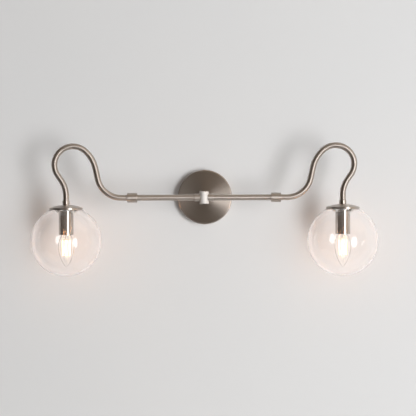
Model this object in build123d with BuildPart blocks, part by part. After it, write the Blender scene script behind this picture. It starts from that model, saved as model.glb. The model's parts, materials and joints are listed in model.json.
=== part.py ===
from build123d import *

import os
from math import acos, asin, atan2, cos, degrees, radians, sin, sqrt

# Double arm wall sconce: a round canopy carries one hub, and from the hub two straight arms end in
# swivelling swan necks. Each neck carries a cap, a clear ball shade held by a spring clip, and a
# candelabra lampholder inside a plain metal cup.
#
# Millimetres. The origin is the centre of the canopy's open wall side. +X is the viewer's right,
# +Z is up, +Y points into the wall, and the light stands out of the wall towards -Y.

SIDES = {"left": -1, "right": 1}

# Overall layout
ARM_STANDOFF = 105.0  # wall to the arms' axis
LAMP_OFFSET = 297.6  # fixture's centre line to a lamp's axis
COLLAR_CENTRE = 154.6  # fixture's centre line to the middle of a swivel collar

# Tube stock and threads, shared by the arms and the necks
TUBE_RADIUS = 6.35
TUBE_WALL = 1.3
TUBE_BORE = TUBE_RADIUS - TUBE_WALL
SLIP = 0.02  # soldered sleeve over its tube
RUNNING = 0.05  # turning fit, and thread in its hole
NIPPLE_RADIUS = 5.0
NIPPLE_BORE = 3.5
WIRE_BORE = 3.2
BREAK = 0.4  # broken edge of a turned part

# Canopy and the steelwork behind it
CANOPY_RADIUS = 60.325
CANOPY_DEPTH = 19.0
CANOPY_WALL = 1.2
CANOPY_EDGE = 3.0
BAR_WIDTH = 18.0
BAR_HALF_LENGTH = 57.5
BAR_THICKNESS = 2.0
BAR_CORNER = 2.0
BAR_CENTRE_HOLE = 6.5
EAR_WIDTH = 16.0
EAR_DEPTH = 14.0
SLOT_SPACING = 79.4  # takes screws from 69.9 to 88.9 apart
SLOT_LENGTH = 16.0
SLOT_WIDTH = 4.8
SIDE_SCREW_DEPTH = 8.0  # wall to the side screws' axis
SIDE_SCREW_RADIUS = 2.0
SIDE_SCREW_LENGTH = 9.5
SIDE_SCREW_HOLE = 2.2
SIDE_HEAD_RADIUS = 3.6
SIDE_HEAD_HEIGHT = 2.2
GROUND_HEIGHT = -21.0
GROUND_BOSS_RADIUS = 4.5
GROUND_BOSS_HEIGHT = 3.0
GROUND_SCREW_RADIUS = 2.4
GROUND_SCREW_LENGTH = 4.6
GROUND_HEAD_RADIUS = 4.6
GROUND_HEAD_HEIGHT = 3.0
SCREW_SLOT_WIDTH = 1.0
SCREW_SLOT_DEPTH = 1.2

# Nipple, nut and washer that hold the post to the canopy
NIPPLE_BACK = 12.0  # wall to the nipple's rear end
NIPPLE_LENGTH = 19.0
WASHER_THICKNESS = 1.2
WASHER_RADIUS = 8.5
NUT_FLATS = 14.0
NUT_HEIGHT = 3.0

# Post, its flange and the hub
FLANGE_RADIUS = 13.0
FLANGE_HEIGHT = 6.0
FLANGE_FLOOR = 2.0
FLANGE_EDGE = 1.6
HUB_RADIUS = 10.0
HUB_HEIGHT = 27.6
HUB_EDGE = 1.5
HUB_SEAT = 8.0  # hub's axis to the flat seats that the ferrules and the post stand on
SPIGOT_RADIUS = 4.0
SPIGOT_BORE = 2.8
SPIGOT_END = 4.6  # hub's axis to a spigot's inner end
HUB_CHAMBER_RADIUS = 6.0
HUB_CHAMBER_TOP = 7.0
HUB_CAP_HEIGHT = 3.6
HUB_PLUG_LENGTH = 3.0
HUB_FERRULE_RADIUS = 8.0
HUB_FERRULE_END = 20.5  # hub's axis to a ferrule's outer end
HUB_FERRULE_EDGE = 1.0
FERRULE_SOCKET = 7.0  # depth that a tube stands inside its ferrule

# Swivel: a collar on the arm, with a turning spigot from the neck inside it
COLLAR_RADIUS = 10.25
COLLAR_LENGTH = 21.3
COLLAR_EDGE = 0.5
COLLAR_TUBE_DEPTH = 6.2
COLLAR_WEB = 2.0
FRICTION_WASHER = 1.0
FRICTION_BORE = 3.6
SWIVEL_GAP = 0.15  # collar's face to the neck's end
SWIVEL_TAIL = 10.0
SWIVEL_TAIL_CLEARANCE = 0.03
SWIVEL_BACK_STOP = 15.0
SWIVEL_FRONT_STOP = 60.0
STOP_SCREW_RADIUS = 2.0
STOP_SCREW_TIP = 5.1
STOP_SCREW_END = 9.7
STOP_SCREW_FROM_FACE = 6.0  # collar's outer face to the stop screw's axis
STOP_SCREW_KEY = 2.0
STOP_SCREW_KEY_DEPTH = 1.6
GROOVE_BOTTOM = 4.9
GROOVE_WIDTH = 4.2
GROOVE_END_SLACK = 1.5  # degrees

# The swan neck, from the collar outwards: bend radius, turn in degrees, straight run after it
NECK_BENDS = (
    (52.0, 77.8, 23.1),  # up from the arm into the riser
    (69.7, -36.6, 0.0),  # easing over towards the crown
    (39.9, -166.5, 10.8),  # round the crown
    (60.3, 35.3, 0.0),  # back in, to hang plumb
)
NECK_END = -13.0  # height of the neck's lower end, on the lamp's axis

# Cap over the shade
GLOBE_RADIUS = 76.2
GLOBE_WALL = 2.0
GLOBE_CENTRE = -93.0
GLOBE_HOLE = 21.5
GLOBE_LIP = 0.8
CAP_RADIUS = 35.8
CAP_BOTTOM = -24.75
CAP_SKIRT = 3.5
CAP_WALL = 1.2
CAP_DOME = 98.0  # flatter than the shade below it
CAP_DOME_CENTRE = CAP_BOTTOM + CAP_SKIRT - sqrt(CAP_DOME**2 - CAP_RADIUS**2)
CAP_LAND_RADIUS = 8.8
CAP_LAND_TOP = -15.0
CAP_LAND_THICKNESS = 1.3
GASKET_INNER = 26.0
GASKET_OUTER = 31.0
GASKET_GAP = 0.3
NECK_FERRULE_TOP = -6.0
NECK_FERRULE_RADIUS = 7.85
NECK_FERRULE_WAIST = 7.3
NECK_FERRULE_WAIST_TOP = -13.4

# Lampholder stack below the cap, as heights from the arms' axis
LAMP_NIPPLE_TOP = -1.5
LAMP_NIPPLE_BOTTOM = -39.0
SPACER_RADIUS = 7.0
CLIP_TOP = -27.2
CLIP_RADIUS = 19.0
CLIP_THICKNESS = 0.8
CLIP_ARMS = 4
CLIP_ARM_WIDTH = 7.0
CLIP_KNEE_RADIUS = 22.6
CLIP_KNEE_HEIGHT = -31.0
CLIP_TIP_RADIUS = 28.2
CLIP_TIP_GAP = 0.3
CUP_RADIUS = 15.85
CUP_WALL = 0.8
CUP_EDGE = 1.2
CUP_BOTTOM = -79.0
SOCKET_NUT_HEIGHT = 4.0
HOLDER_TOP = -33.0
HOLDER_SHOULDER = -50.0
HOLDER_BOTTOM = -69.0
HOLDER_TOP_RADIUS = 12.5
HOLDER_RADIUS = 10.5
HOLDER_THREAD_DEPTH = 7.0
HOLDER_FLOOR = -45.5
SHELL_BORE = 6.0
SHELL_WALL = 0.4
SHELL_TOP = -52.0
SHELL_BOTTOM = -68.0
CONTACT_HALF_LENGTH = 4.0
CONTACT_WIDTH = 3.5
CONTACT_THICKNESS = 0.4

# Candelabra bulb
BULB_TIP = -150.0
BULB_CONTACT = -50.0
BULB_INSULATOR_HEIGHT = 2.0
BULB_BUTTON_RADIUS = 2.0
BULB_BUTTON_HEIGHT = 0.6
BULB_BASE_RADIUS = 5.93
BULB_BASE_WALL = 0.3
BULB_BASE_END = -66.0
BULB_RADIUS = 17.5
BULB_WIDEST = -103.0
BULB_NECK_RADIUS = 5.55
BULB_NECK_TOP = -60.0
BULB_GLASS_WALL = 0.7
BULB_FLARE_START = -66.5
BULB_FLARE_RADIUS = 26.0
BULB_TIP_RADIUS = 2.0
STEM_RADIUS = 2.2
STEM_FLARE_HEIGHT = 5.0
STEM_BOTTOM = -88.0
STEM_WIRE_RADIUS = 0.45
FILAMENT_COUNT = 4
FILAMENT_RADIUS = 0.9
FILAMENT_TOP = -92.0
FILAMENT_BOTTOM = -124.0
FILAMENT_TOP_SPREAD = 8.2
FILAMENT_BOTTOM_SPREAD = 7.6
FILAMENT_TWIST = 20.0
FILAMENT_LEAD = 0.15  # gap that the weld fills between a filament's end and its wire


def save(builder, label):
    """Names a finished sub-part and writes it as a node of its own."""
    builder.part.label = label
    export_step(builder.part, f"parts/{label}.step")


def arm_plane(sign):
    """Plane through the arms: local x runs outwards from the hub and local y runs up."""
    return Plane(origin=(0, -ARM_STANDOFF, 0), x_dir=(sign, 0, 0), z_dir=(0, -sign, 0))


def arm_section(sign, distance):
    """Plane across an arm, at a distance from the hub's axis, facing outwards."""
    return Plane(origin=(sign * distance, -ARM_STANDOFF, 0), x_dir=(0, sign, 0), z_dir=(sign, 0, 0))


def arm_axis(sign):
    return Axis((0, -ARM_STANDOFF, 0), (sign, 0, 0))


def lamp_plane(sign, angle=0):
    """Plane that holds the lamp's axis: local x is a radius at that angle, local y is height."""
    turn = radians(angle)
    return Plane(
        origin=(sign * LAMP_OFFSET, -ARM_STANDOFF, 0),
        x_dir=(cos(turn), sin(turn), 0),
        z_dir=(sin(turn), -cos(turn), 0),
    )


def lamp_section(sign, height):
    """Level plane across the lamp's axis."""
    return Plane(origin=(sign * LAMP_OFFSET, -ARM_STANDOFF, height))


def lamp_axis(sign):
    return Axis((sign * LAMP_OFFSET, -ARM_STANDOFF, 0), (0, 0, 1))


def sphere_height(radius, distance):
    """Height of a sphere about the shade's centre, at a distance from the lamp's axis."""
    return GLOBE_CENTRE + sqrt(radius**2 - distance**2)


def sphere_arc(radius, near, far, centre=GLOBE_CENTRE):
    """Arc over a centre on the lamp's axis, between two distances from that axis."""
    start = degrees(acos(near / radius))
    end = degrees(acos(far / radius))
    return CenterArc((0, centre), radius, start, end - start)


# ---------------------------------------------------------------------------------- behind the canopy


def make_canopy():
    with BuildPart() as canopy:
        with BuildSketch(Plane.XZ):
            Circle(CANOPY_RADIUS)
        extrude(amount=CANOPY_DEPTH)
        front = canopy.faces().sort_by(Axis.Y)[0]
        fillet(front.edges(), CANOPY_EDGE)
        back = canopy.faces().sort_by(Axis.Y)[-1]
        offset(amount=-CANOPY_WALL, openings=back)
        with BuildSketch(Plane.XZ):
            Circle(NIPPLE_RADIUS + RUNNING)
        extrude(amount=CANOPY_DEPTH, mode=Mode.SUBTRACT)
        with BuildSketch(Plane.XY):
            with Locations((0, -SIDE_SCREW_DEPTH)):
                Circle(SIDE_SCREW_HOLE)
        extrude(amount=CANOPY_RADIUS, both=True, mode=Mode.SUBTRACT)
    save(canopy, "canopy")


def make_mounting_crossbar():
    with BuildPart() as crossbar:
        with BuildSketch(Plane.XZ):
            RectangleRounded(BAR_WIDTH, 2 * BAR_HALF_LENGTH, BAR_CORNER)
        extrude(amount=BAR_THICKNESS)
        for end in (-1, 1):
            with BuildSketch(Plane.XZ):
                with Locations((0, end * (BAR_HALF_LENGTH - BAR_THICKNESS / 2))):
                    Rectangle(EAR_WIDTH, BAR_THICKNESS)
            extrude(amount=EAR_DEPTH)
        with BuildSketch(Plane.XZ):
            with Locations((0, GROUND_HEIGHT)):
                Circle(GROUND_BOSS_RADIUS)
        extrude(amount=BAR_THICKNESS + GROUND_BOSS_HEIGHT)
        with BuildSketch(Plane.XZ):
            Circle(BAR_CENTRE_HOLE)
            with Locations((0, GROUND_HEIGHT)):
                Circle(GROUND_SCREW_RADIUS + RUNNING)
            with Locations((0, -SLOT_SPACING / 2), (0, SLOT_SPACING / 2)):
                SlotOverall(SLOT_LENGTH, SLOT_WIDTH, rotation=90)
        extrude(amount=BAR_THICKNESS + GROUND_BOSS_HEIGHT, mode=Mode.SUBTRACT)
        with BuildSketch(Plane.XY):
            with Locations((0, -SIDE_SCREW_DEPTH)):
                Circle(SIDE_SCREW_RADIUS + RUNNING)
        extrude(amount=BAR_HALF_LENGTH, both=True, mode=Mode.SUBTRACT)
    save(crossbar, "mounting_crossbar")


def make_canopy_side_screws():
    with BuildPart() as screws:
        for end in (-1, 1):
            seat = Plane(
                origin=(0, -SIDE_SCREW_DEPTH, end * (CANOPY_RADIUS + RUNNING)),
                x_dir=(1, 0, 0),
                z_dir=(0, 0, end),
            )
            with BuildSketch(seat):
                Circle(SIDE_HEAD_RADIUS)
            extrude(amount=SIDE_HEAD_HEIGHT)
            with BuildSketch(seat):
                Circle(SIDE_SCREW_RADIUS)
            extrude(amount=-SIDE_SCREW_LENGTH)
            with BuildSketch(seat.offset(SIDE_HEAD_HEIGHT)):
                Rectangle(2 * SIDE_HEAD_RADIUS, SCREW_SLOT_WIDTH)
            extrude(amount=-SCREW_SLOT_DEPTH, mode=Mode.SUBTRACT)
    save(screws, "canopy_side_screws")


def make_ground_screw():
    seat = Plane.XZ.offset(BAR_THICKNESS + GROUND_BOSS_HEIGHT)
    with BuildPart() as screw:
        with BuildSketch(seat):
            with Locations((0, GROUND_HEIGHT)):
                RegularPolygon(GROUND_HEAD_RADIUS, 6)
        extrude(amount=GROUND_HEAD_HEIGHT)
        with BuildSketch(seat):
            with Locations((0, GROUND_HEIGHT)):
                Circle(GROUND_SCREW_RADIUS)
        extrude(amount=-GROUND_SCREW_LENGTH)
        with BuildSketch(seat.offset(GROUND_HEAD_HEIGHT)):
            with Locations((0, GROUND_HEIGHT)):
                Rectangle(2 * GROUND_HEAD_RADIUS, SCREW_SLOT_WIDTH)
        extrude(amount=-SCREW_SLOT_DEPTH, mode=Mode.SUBTRACT)
    save(screw, "ground_screw")


def make_mounting_nipple():
    with BuildPart() as nipple:
        with BuildSketch(Plane.XZ.offset(NIPPLE_BACK)):
            Circle(NIPPLE_RADIUS)
            Circle(NIPPLE_BORE, mode=Mode.SUBTRACT)
        extrude(amount=NIPPLE_LENGTH)
        chamfer(nipple.edges().filter_by(GeomType.CIRCLE).group_by(SortBy.RADIUS)[-1], BREAK)
    save(nipple, "mounting_nipple")


def make_nipple_washer():
    inner_face = CANOPY_DEPTH - CANOPY_WALL
    with BuildPart() as washer:
        with BuildSketch(Plane.XZ.offset(inner_face - WASHER_THICKNESS)):
            Circle(WASHER_RADIUS)
            Circle(NIPPLE_RADIUS + RUNNING, mode=Mode.SUBTRACT)
        extrude(amount=WASHER_THICKNESS)
    save(washer, "nipple_lock_washer")


def make_nipple_nut():
    washer_back = CANOPY_DEPTH - CANOPY_WALL - WASHER_THICKNESS
    with BuildPart() as nut:
        with BuildSketch(Plane.XZ.offset(washer_back - NUT_HEIGHT)):
            RegularPolygon(NUT_FLATS / 2, 6, major_radius=False)
            Circle(NIPPLE_RADIUS + RUNNING, mode=Mode.SUBTRACT)
        extrude(amount=NUT_HEIGHT)
    save(nut, "nipple_nut")


# ---------------------------------------------------------------------------------- post and hub


def make_post_flange():
    front = CANOPY_DEPTH + FLANGE_HEIGHT
    with BuildPart() as flange:
        with BuildSketch(Plane.XZ.offset(CANOPY_DEPTH)):
            Circle(FLANGE_RADIUS)
            Circle(NIPPLE_RADIUS + RUNNING, mode=Mode.SUBTRACT)
        extrude(amount=FLANGE_HEIGHT)
        with BuildSketch(Plane.XZ.offset(front)):
            Circle(TUBE_RADIUS + SLIP)
        extrude(amount=-(FLANGE_HEIGHT - FLANGE_FLOOR), mode=Mode.SUBTRACT)
        rims = flange.edges().filter_by(GeomType.CIRCLE).group_by(SortBy.RADIUS)[-1]
        fillet(rims.sort_by(Axis.Y)[0], FLANGE_EDGE)
    save(flange, "post_flange")


def make_post():
    back = CANOPY_DEPTH + FLANGE_FLOOR
    seat = ARM_STANDOFF - HUB_SEAT
    thread_end = NIPPLE_BACK + NIPPLE_LENGTH + BREAK
    spigot_end = ARM_STANDOFF - SPIGOT_END
    with BuildPart() as post:
        with BuildSketch(Plane.XZ.offset(back)):
            Circle(TUBE_RADIUS)
        extrude(amount=seat - back)
        with BuildSketch(Plane.XZ.offset(seat)):
            Circle(SPIGOT_RADIUS)
        extrude(amount=spigot_end - seat)
        with BuildSketch(Plane.XZ.offset(back)):
            Circle(NIPPLE_RADIUS + RUNNING)
        extrude(amount=thread_end - back, mode=Mode.SUBTRACT)
        with BuildSketch(Plane.XZ.offset(back)):
            Circle(SPIGOT_BORE)
        extrude(amount=spigot_end - back, mode=Mode.SUBTRACT)
    save(post, "post")


def make_hub():
    body_bottom = -HUB_HEIGHT / 2 + HUB_CAP_HEIGHT
    hub_axis_plane = Plane(origin=(0, -ARM_STANDOFF, body_bottom))
    with BuildPart() as hub:
        with BuildSketch(hub_axis_plane):
            Circle(HUB_RADIUS)
        extrude(amount=HUB_HEIGHT - HUB_CAP_HEIGHT)
        fillet(hub.edges().filter_by(GeomType.CIRCLE).sort_by(Axis.Z)[-1], HUB_EDGE)
        with BuildSketch(hub_axis_plane):
            Circle(HUB_CHAMBER_RADIUS)
        extrude(amount=HUB_CHAMBER_TOP - body_bottom, mode=Mode.SUBTRACT)
        for sign in SIDES.values():
            with BuildSketch(arm_section(sign, HUB_SEAT)):
                Circle(HUB_FERRULE_RADIUS + SLIP)
            extrude(amount=HUB_RADIUS, mode=Mode.SUBTRACT)
            with BuildSketch(arm_section(sign, 0)):
                Circle(SPIGOT_RADIUS + RUNNING)
            extrude(amount=HUB_RADIUS, mode=Mode.SUBTRACT)
        with BuildSketch(Plane.XZ.offset(ARM_STANDOFF - HUB_SEAT)):
            Circle(TUBE_RADIUS + SLIP)
        extrude(amount=-HUB_RADIUS, mode=Mode.SUBTRACT)
        with BuildSketch(Plane.XZ.offset(ARM_STANDOFF)):
            Circle(SPIGOT_RADIUS + RUNNING)
        extrude(amount=-HUB_RADIUS, mode=Mode.SUBTRACT)
    save(hub, "hub")


def make_hub_cap():
    cap_top = -HUB_HEIGHT / 2 + HUB_CAP_HEIGHT
    with BuildPart() as cap:
        with BuildSketch(Plane(origin=(0, -ARM_STANDOFF, -HUB_HEIGHT / 2))):
            Circle(HUB_RADIUS)
        extrude(amount=HUB_CAP_HEIGHT)
        fillet(cap.edges().filter_by(GeomType.CIRCLE).sort_by(Axis.Z)[0], HUB_EDGE)
        with BuildSketch(Plane(origin=(0, -ARM_STANDOFF, cap_top))):
            Circle(HUB_CHAMBER_RADIUS - RUNNING)
        extrude(amount=HUB_PLUG_LENGTH)
    save(cap, "hub_cap")


# ---------------------------------------------------------------------------------- arms


def make_hub_ferrule(side, sign):
    socket_floor = HUB_FERRULE_END - FERRULE_SOCKET
    with BuildPart() as ferrule:
        with BuildSketch(arm_section(sign, HUB_SEAT)):
            Circle(HUB_FERRULE_RADIUS)
        extrude(amount=HUB_FERRULE_END - HUB_SEAT)
        outer_rim = ferrule.edges().filter_by(GeomType.CIRCLE).sort_by(arm_axis(sign))[-1]
        fillet(outer_rim, HUB_FERRULE_EDGE)
        with BuildSketch(arm_section(sign, SPIGOT_END)):
            Circle(SPIGOT_RADIUS)
        extrude(amount=HUB_SEAT - SPIGOT_END)
        with BuildSketch(arm_section(sign, socket_floor)):
            Circle(TUBE_RADIUS + SLIP)
        extrude(amount=FERRULE_SOCKET, mode=Mode.SUBTRACT)
        with BuildSketch(arm_section(sign, SPIGOT_END)):
            Circle(SPIGOT_BORE)
        extrude(amount=HUB_FERRULE_END, mode=Mode.SUBTRACT)
    save(ferrule, f"{side}_hub_ferrule")


def make_arm_tube(side, sign):
    start = HUB_FERRULE_END - FERRULE_SOCKET
    end = COLLAR_CENTRE - COLLAR_LENGTH / 2 + COLLAR_TUBE_DEPTH
    with BuildPart() as tube:
        with BuildSketch(arm_section(sign, start)):
            Circle(TUBE_RADIUS)
            Circle(TUBE_BORE, mode=Mode.SUBTRACT)
        extrude(amount=end - start)
    save(tube, f"{side}_arm_tube")


def make_swivel_collar(side, sign):
    inner_end = COLLAR_CENTRE - COLLAR_LENGTH / 2
    outer_end = inner_end + COLLAR_LENGTH
    web = inner_end + COLLAR_TUBE_DEPTH
    chamber = web + COLLAR_WEB
    with BuildPart() as collar:
        with BuildSketch(arm_section(sign, inner_end)):
            Circle(COLLAR_RADIUS)
            Circle(FRICTION_BORE, mode=Mode.SUBTRACT)
        extrude(amount=COLLAR_LENGTH)
        rims = collar.edges().filter_by(GeomType.CIRCLE).group_by(SortBy.RADIUS)[-1]
        chamfer(rims, COLLAR_EDGE)
        with BuildSketch(arm_section(sign, inner_end)):
            Circle(TUBE_RADIUS + SLIP)
        extrude(amount=COLLAR_TUBE_DEPTH, mode=Mode.SUBTRACT)
        with BuildSketch(arm_section(sign, chamber)):
            Circle(TUBE_RADIUS + RUNNING)
        extrude(amount=outer_end - chamber, mode=Mode.SUBTRACT)
        with BuildSketch(Plane.XZ.offset(ARM_STANDOFF)):
            with Locations((sign * (outer_end - STOP_SCREW_FROM_FACE), 0)):
                Circle(STOP_SCREW_RADIUS + RUNNING)
        extrude(amount=-COLLAR_RADIUS, mode=Mode.SUBTRACT)
    save(collar, f"{side}_swivel_collar")


def make_friction_washer(side, sign):
    seat = COLLAR_CENTRE - COLLAR_LENGTH / 2 + COLLAR_TUBE_DEPTH + COLLAR_WEB
    with BuildPart() as washer:
        with BuildSketch(arm_section(sign, seat)):
            Circle(TUBE_RADIUS)
            Circle(FRICTION_BORE, mode=Mode.SUBTRACT)
        extrude(amount=FRICTION_WASHER)
    save(washer, f"{side}_friction_washer")


def make_swivel_stop_screws():
    reach = COLLAR_CENTRE + COLLAR_LENGTH / 2 - STOP_SCREW_FROM_FACE
    with BuildPart() as screws:
        for sign in SIDES.values():
            with BuildSketch(Plane.XZ.offset(ARM_STANDOFF - STOP_SCREW_TIP)):
                with Locations((sign * reach, 0)):
                    Circle(STOP_SCREW_RADIUS)
            extrude(amount=STOP_SCREW_TIP - STOP_SCREW_END)
            with BuildSketch(Plane.XZ.offset(ARM_STANDOFF - STOP_SCREW_END)):
                with Locations((sign * reach, 0)):
                    RegularPolygon(STOP_SCREW_KEY / 2, 6, major_radius=False)
            extrude(amount=STOP_SCREW_KEY_DEPTH, mode=Mode.SUBTRACT)
    save(screws, "swivel_stop_screws")


def make_swivel_spigot(side, sign):
    outer_end = COLLAR_CENTRE + COLLAR_LENGTH / 2
    inner_end = outer_end - COLLAR_LENGTH + COLLAR_TUBE_DEPTH + COLLAR_WEB + FRICTION_WASHER
    shoulder = outer_end + SWIVEL_GAP
    groove_axis = outer_end - STOP_SCREW_FROM_FACE
    end_angle = degrees(asin(STOP_SCREW_RADIUS / STOP_SCREW_TIP)) + GROOVE_END_SLACK
    start_angle = radians(-SWIVEL_FRONT_STOP - end_angle)
    outwards = Vector(0, cos(start_angle), -sin(start_angle))
    groove_plane = Plane(
        origin=(sign * groove_axis, -ARM_STANDOFF, 0),
        x_dir=(1, 0, 0),
        z_dir=Vector(1, 0, 0).cross(outwards),
    )
    with BuildPart() as spigot:
        with BuildSketch(arm_section(sign, inner_end)):
            Circle(TUBE_RADIUS)
        extrude(amount=shoulder - inner_end)
        with BuildSketch(arm_section(sign, shoulder)):
            Circle(TUBE_BORE - SWIVEL_TAIL_CLEARANCE)
        extrude(amount=SWIVEL_TAIL)
        with BuildSketch(arm_section(sign, inner_end)):
            Circle(WIRE_BORE)
        extrude(amount=shoulder + SWIVEL_TAIL - inner_end, mode=Mode.SUBTRACT)
        with BuildSketch(groove_plane):
            with Locations((0, GROOVE_BOTTOM)):
                Rectangle(GROOVE_WIDTH, TUBE_RADIUS, align=(Align.CENTER, Align.MIN))
        revolve(
            axis=Axis((0, -ARM_STANDOFF, 0), (-1, 0, 0)),
            revolution_arc=SWIVEL_BACK_STOP + SWIVEL_FRONT_STOP + 2 * end_angle,
            mode=Mode.SUBTRACT,
        )
    save(spigot, f"{side}_swivel_spigot")


def neck_reach():
    """Outward distance that the swan neck's bends and the straight runs after them cover."""
    heading = 0.0
    reach = 0.0
    for radius, turn, run in NECK_BENDS:
        leaving = heading + turn
        swing = sin(radians(leaving)) - sin(radians(heading))
        reach += radius * swing if turn > 0 else -radius * swing
        reach += run * cos(radians(leaving))
        heading = leaving
    return reach


def make_gooseneck(side, sign):
    start = COLLAR_CENTRE + COLLAR_LENGTH / 2 + SWIVEL_GAP
    lead_in = LAMP_OFFSET - start - neck_reach()
    with BuildPart() as gooseneck:
        with BuildLine(arm_plane(sign)) as path:
            last = Line((start, 0), (start + lead_in, 0))
            for radius, turn, run in NECK_BENDS:
                last = JernArc(last @ 1, last % 1, radius, turn)
                if run > 0:
                    last = Line(last @ 1, last @ 1 + (last % 1) * run)
            Line(last @ 1, (LAMP_OFFSET, NECK_END))
        with BuildSketch(arm_section(sign, start)):
            Circle(TUBE_RADIUS)
            Circle(TUBE_BORE, mode=Mode.SUBTRACT)
        sweep(path=path.line)
    length = sum(edge.length for edge in path.edges())
    print(f"{side} gooseneck: tube length {length:.1f}, lead-in {lead_in:.2f}")
    save(gooseneck, f"{side}_gooseneck")


# ---------------------------------------------------------------------------------- cap and shade


def make_neck_ferrule(side, sign):
    with BuildPart() as ferrule:
        with BuildSketch(lamp_plane(sign)):
            with BuildLine():
                Polyline(
                    (TUBE_RADIUS + SLIP, NECK_FERRULE_TOP),
                    (NECK_FERRULE_RADIUS - BREAK, NECK_FERRULE_TOP),
                    (NECK_FERRULE_RADIUS, NECK_FERRULE_TOP - BREAK),
                    (NECK_FERRULE_RADIUS, NECK_FERRULE_WAIST_TOP),
                    (NECK_FERRULE_WAIST, NECK_FERRULE_WAIST_TOP - BREAK),
                    (NECK_FERRULE_WAIST, CAP_LAND_TOP),
                    (NIPPLE_RADIUS + RUNNING, CAP_LAND_TOP),
                    (NIPPLE_RADIUS + RUNNING, NECK_END),
                    (TUBE_RADIUS + SLIP, NECK_END),
                    close=True,
                )
            make_face()
        revolve(axis=lamp_axis(sign))
    save(ferrule, f"{side}_neck_ferrule")


def make_cap(side, sign):
    inner_rim = CAP_RADIUS - CAP_WALL
    hole = NIPPLE_RADIUS + RUNNING
    land_top_edge = CAP_LAND_RADIUS - BREAK
    with BuildPart() as cap:
        with BuildSketch(lamp_plane(sign)):
            with BuildLine():
                outside = sphere_arc(CAP_DOME, CAP_LAND_RADIUS, CAP_RADIUS, CAP_DOME_CENTRE)
                inside = sphere_arc(CAP_DOME - CAP_WALL, CAP_LAND_RADIUS, inner_rim, CAP_DOME_CENTRE)
                Polyline(
                    outside @ 1,
                    (CAP_RADIUS, CAP_BOTTOM),
                    (inner_rim, CAP_BOTTOM),
                    inside @ 1,
                )
                Polyline(
                    outside @ 0,
                    (land_top_edge, CAP_LAND_TOP),
                    (hole, CAP_LAND_TOP),
                    (hole, CAP_LAND_TOP - CAP_LAND_THICKNESS),
                    (land_top_edge, CAP_LAND_TOP - CAP_LAND_THICKNESS),
                    inside @ 0,
                )
            make_face()
        revolve(axis=lamp_axis(sign))
    save(cap, f"{side}_cap")


def make_shade_gasket(side, sign):
    top_sphere = CAP_DOME - CAP_WALL - SLIP
    bottom_sphere = GLOBE_RADIUS + GASKET_GAP
    with BuildPart() as gasket:
        with BuildSketch(lamp_plane(sign)):
            with BuildLine():
                over = sphere_arc(top_sphere, GASKET_INNER, GASKET_OUTER, CAP_DOME_CENTRE)
                under = sphere_arc(bottom_sphere, GASKET_INNER, GASKET_OUTER)
                Line(over @ 0, under @ 0)
                Line(over @ 1, under @ 1)
            make_face()
        revolve(axis=lamp_axis(sign))
    save(gasket, f"{side}_shade_gasket")


def hole_angle(radius):
    """Angle above the horizon at which a sphere of the shade meets its mouth."""
    return degrees(acos(GLOBE_HOLE / radius))


def make_globe(side, sign):
    inner_sphere = GLOBE_RADIUS - GLOBE_WALL
    with BuildPart() as globe:
        with BuildSketch(lamp_plane(sign)):
            with BuildLine():
                outside = CenterArc((0, GLOBE_CENTRE), GLOBE_RADIUS, -90, 90 + hole_angle(GLOBE_RADIUS))
                inside = CenterArc((0, GLOBE_CENTRE), inner_sphere, -90, 90 + hole_angle(inner_sphere))
                Line(outside @ 0, inside @ 0)
                Line(outside @ 1, inside @ 1)
            make_face()
        revolve(axis=lamp_axis(sign))
        lip = globe.edges().filter_by(GeomType.CIRCLE).filter_by(lambda edge: edge.radius < GLOBE_HOLE + 1)
        fillet(lip.sort_by(Axis.Z)[-2:], GLOBE_LIP)
    save(globe, f"{side}_globe")


# ---------------------------------------------------------------------------------- lampholder stack


def make_lamp_nipple(side, sign):
    with BuildPart() as nipple:
        with BuildSketch(lamp_section(sign, LAMP_NIPPLE_BOTTOM)):
            Circle(NIPPLE_RADIUS)
            Circle(NIPPLE_BORE, mode=Mode.SUBTRACT)
        extrude(amount=LAMP_NIPPLE_TOP - LAMP_NIPPLE_BOTTOM)
    save(nipple, f"{side}_lamp_nipple")


def make_cap_spacer(side, sign):
    top = CAP_LAND_TOP - CAP_LAND_THICKNESS
    with BuildPart() as spacer:
        with BuildSketch(lamp_section(sign, CLIP_TOP)):
            Circle(SPACER_RADIUS)
            Circle(NIPPLE_RADIUS + RUNNING, mode=Mode.SUBTRACT)
        extrude(amount=top - CLIP_TOP)
    save(spacer, f"{side}_cap_spacer")


def make_spring_clip(side, sign):
    tip_sphere = GLOBE_RADIUS - GLOBE_WALL - CLIP_TIP_GAP - CLIP_THICKNESS / 2
    middle = CLIP_TOP - CLIP_THICKNESS / 2
    with BuildPart() as clip:
        with BuildSketch(lamp_section(sign, CLIP_TOP - CLIP_THICKNESS)):
            Circle(CLIP_RADIUS)
            Circle(NIPPLE_RADIUS + RUNNING, mode=Mode.SUBTRACT)
        extrude(amount=CLIP_THICKNESS)
        for arm in range(CLIP_ARMS):
            angle = (arm + 0.5) * 360 / CLIP_ARMS
            with BuildSketch(lamp_plane(sign, angle)):
                with BuildLine():
                    Polyline(
                        (CLIP_RADIUS - CLIP_THICKNESS, middle),
                        (CLIP_RADIUS, middle),
                        (CLIP_KNEE_RADIUS, CLIP_KNEE_HEIGHT),
                        (CLIP_TIP_RADIUS, sphere_height(tip_sphere, CLIP_TIP_RADIUS)),
                    )
                trace(line_width=CLIP_THICKNESS)
            extrude(amount=CLIP_ARM_WIDTH / 2, both=True)
    save(clip, f"{side}_spring_clip")


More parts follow.
